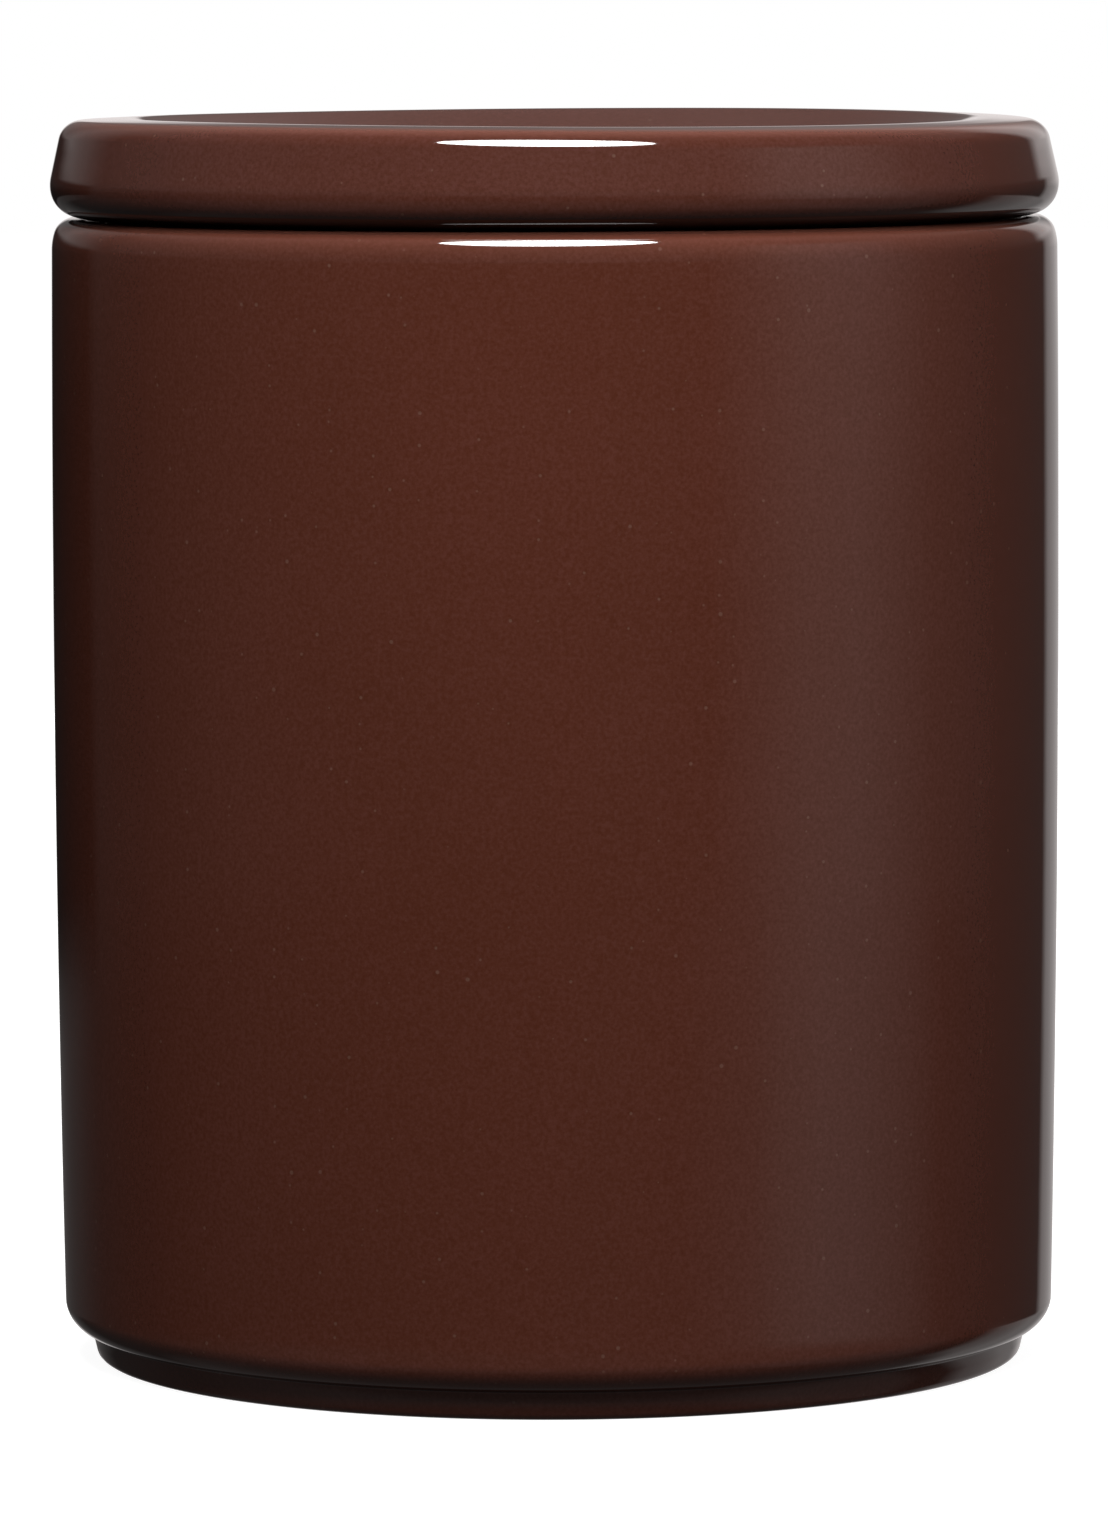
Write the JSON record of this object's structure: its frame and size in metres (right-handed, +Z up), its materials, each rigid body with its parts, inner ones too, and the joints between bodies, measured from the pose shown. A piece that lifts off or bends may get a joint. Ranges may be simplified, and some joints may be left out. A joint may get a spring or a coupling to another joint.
{
  "type": "ceramic storage jar",
  "caption": "Round glazed stoneware storage jar on a foot ring, with a dished lift-off lid that carries a sealing ring in its flange.",
  "frame": {"origin": "centre of the foot ring's face, at the level the jar stands on", "axes": "+Z up along the jar's axis, -Y towards the viewer of the picture, +X to that viewer's right"},
  "size_m": [0.12, 0.12, 0.1482],
  "materials": {
    "jar_glaze": "dark chestnut brown gloss glaze with a fine paler speckle",
    "lid_glaze": "dark chestnut brown gloss glaze with a fine paler speckle",
    "seal_silicone": "cloudy silicone rubber, satin"
  },
  "bodies": {
    "jar": {"jar_body": "jar_glaze"},
    "seal": {"lid_seal": "seal_silicone"},
    "lid": {"lid": "lid_glaze"}
  },
  "joints": [
    {"name": "lid_lift", "type": "slide", "parent": "jar", "child": "seal", "axis": [0, 0, 1], "range_m": [0, 0.06]},
    {"name": "lid_turn", "type": "hinge", "parent": "seal", "child": "lid", "pos_m": [0, 0, 0.1365], "axis": [0, 0, 1], "continuous": true}
  ]
}
